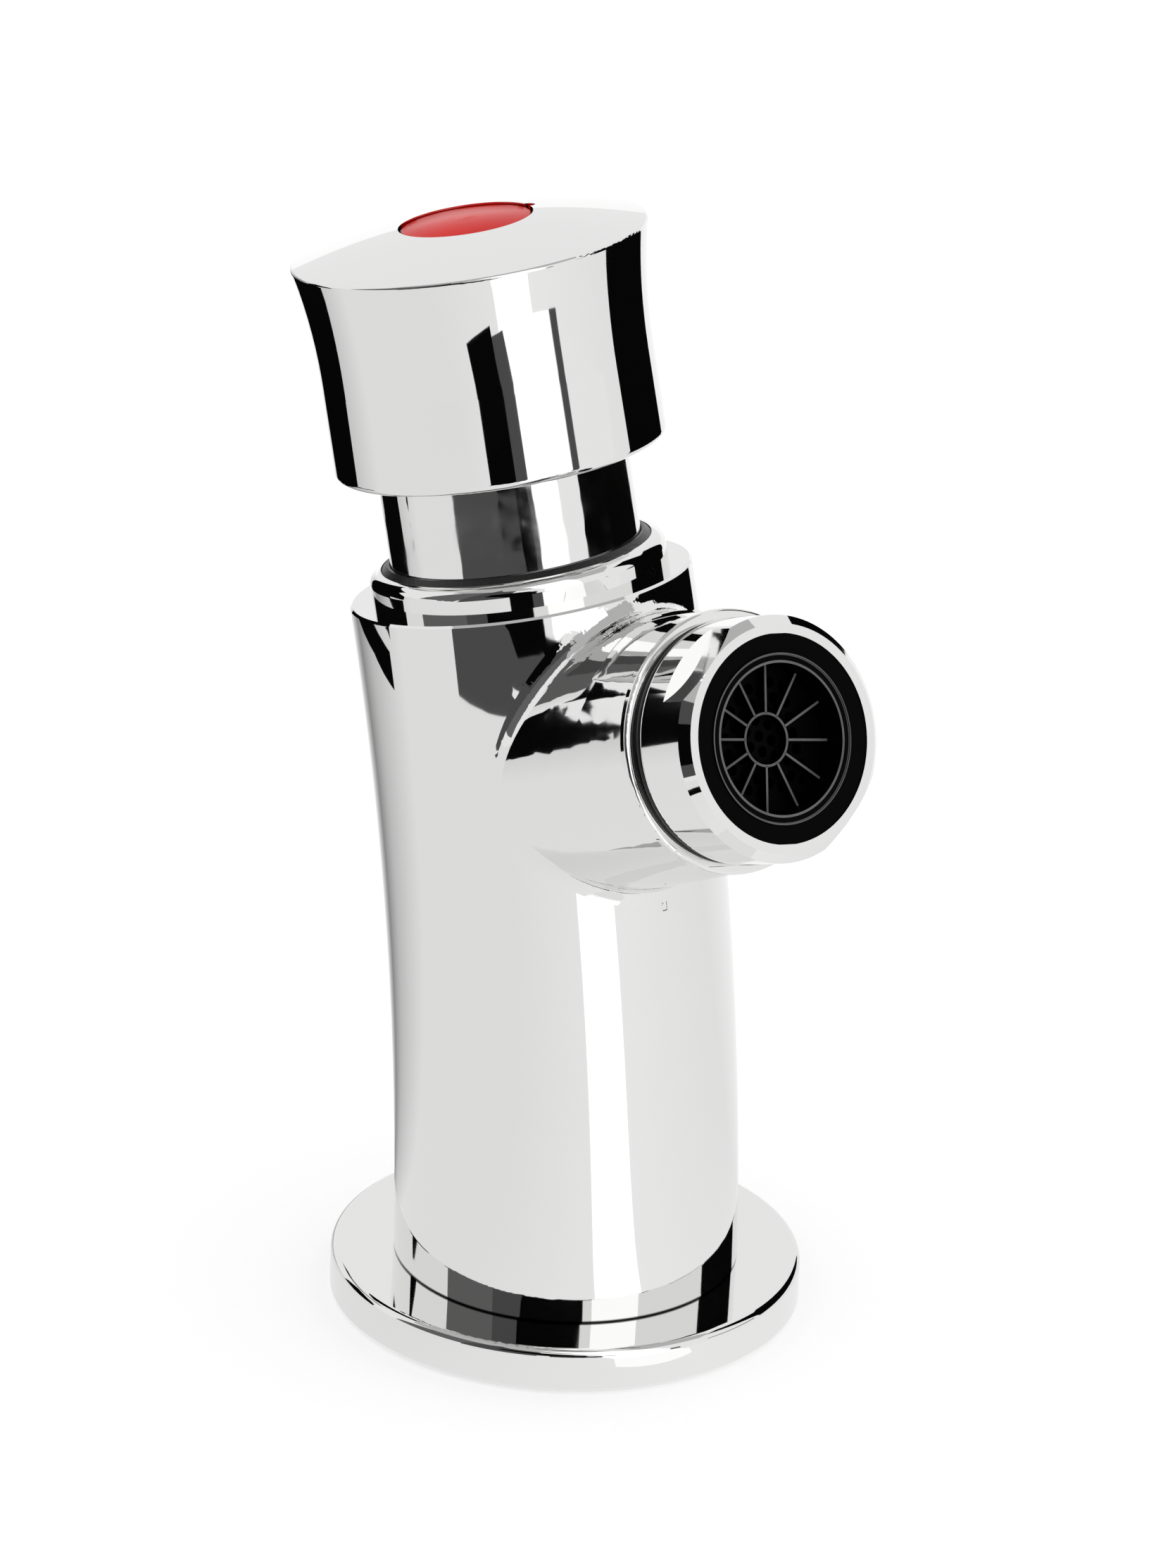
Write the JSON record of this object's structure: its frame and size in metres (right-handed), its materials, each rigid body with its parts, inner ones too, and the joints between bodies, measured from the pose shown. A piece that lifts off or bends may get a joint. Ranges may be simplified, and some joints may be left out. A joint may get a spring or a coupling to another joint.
{
  "type": "self-closing push tap",
  "caption": "Leaning self-closing wall tap with a push button on its end, a short spout with a star aerator, and a round wall flange",
  "frame": {"origin": "centre of the wall flange's back face, on the inlet's axis", "axes": "+Z runs out of the wall along the inlet; -Y is the side the spout points to; +X completes the right-handed frame"},
  "size_m": [0.05, 0.0768, 0.1203],
  "materials": {
    "bright_chrome": "polished chrome plate, lightly scuffed on the button's stem",
    "stainless": "plain stainless steel",
    "bare_brass": "bare turned brass",
    "black_rubber": "matt black rubber",
    "white_plastic": "white moulded plastic",
    "black_plastic": "black moulded plastic",
    "grey_plastic": "dark grey moulded plastic",
    "red_index": "glossy red plastic"
  },
  "bodies": {
    "tap": {"wall_flange": "bright_chrome", "wall_gasket": "black_rubber", "tap_body": "bright_chrome", "inlet_strainer": "stainless", "collar_nut": "bright_chrome", "wiper_ring": "black_rubber", "return_spring": "stainless", "cartridge_cover": "white_plastic", "spindle_seal": "black_rubber", "cartridge_housing": "white_plastic", "upper_seal": "black_rubber", "lower_seal": "black_rubber", "valve_seat": "stainless", "aerator_shell": "bright_chrome", "outlet_seal_ring": "black_rubber", "aerator_washer": "black_rubber", "aerator_insert": "black_plastic", "aerator_star": "grey_plastic", "aerator_screen": "black_plastic", "flow_regulator": "white_plastic"},
    "push_button": {"push_sleeve": "bright_chrome", "push_cap": "bright_chrome", "index_button": "red_index", "cap_screw": "stainless", "spindle": "stainless", "piston": "white_plastic", "cup_seal": "black_rubber", "piston_clip": "stainless", "valve_washer": "black_rubber", "washer_backing": "bare_brass", "valve_nut": "bare_brass"}
  },
  "joints": [
    {"name": "button_press", "type": "slide", "parent": "tap", "child": "push_button", "axis": [0, -0.2807, -0.9598], "range_m": [0, 0.007], "stiffness_N_per_m": 1500, "springref_m": -0.008, "deforming": ["return_spring"]}
  ]
}
